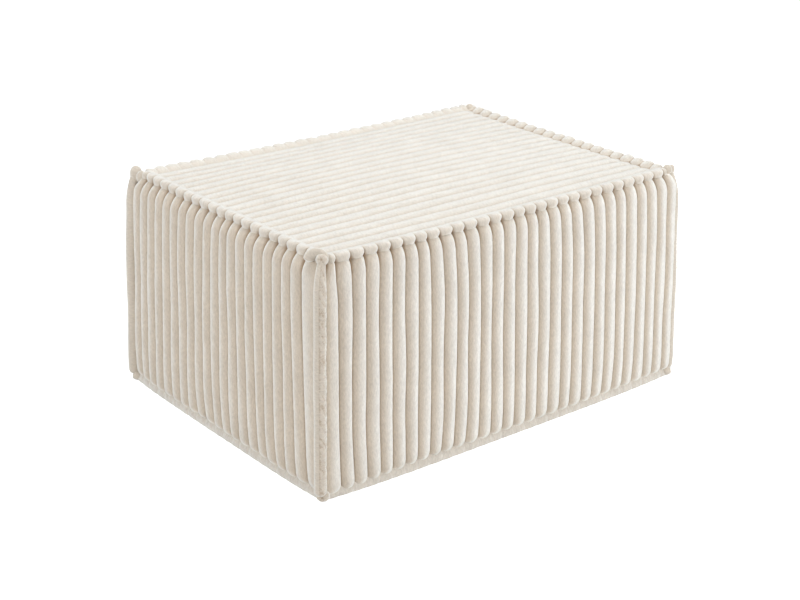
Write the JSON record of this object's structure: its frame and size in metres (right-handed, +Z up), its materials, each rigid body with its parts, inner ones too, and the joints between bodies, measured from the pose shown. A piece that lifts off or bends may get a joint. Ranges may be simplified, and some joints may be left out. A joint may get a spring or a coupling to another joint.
{
  "type": "modular sofa ottoman",
  "caption": "Box-shaped filled ottoman in wide-ribbed cream plush, with a raised sewn flange along every edge; stands on its flat base as a footrest or low seat.",
  "frame": {"origin": "on the floor, under the middle of the base", "axes": "+Z up, +X along the long sides, -Y out of the front, which is one of the two long sides"},
  "size_m": [0.8819, 0.6568, 0.435],
  "materials": {
    "ribbed_plush": "matte wide-ribbed plush with a soft sheen",
    "flange_plush": "matte cut-edge plush, pressed and stitched"
  },
  "bodies": {
    "root": {"filled_cushion": "ribbed_plush", "top_flange_front": "flange_plush", "top_flange_right": "flange_plush", "top_flange_back": "flange_plush", "top_flange_left": "flange_plush", "base_flange_front": "flange_plush", "base_flange_right": "flange_plush", "base_flange_back": "flange_plush", "base_flange_left": "flange_plush", "corner_flange_front_left": "flange_plush", "corner_flange_front_right": "flange_plush", "corner_flange_back_right": "flange_plush", "corner_flange_back_left": "flange_plush"}
  },
  "joints": []
}
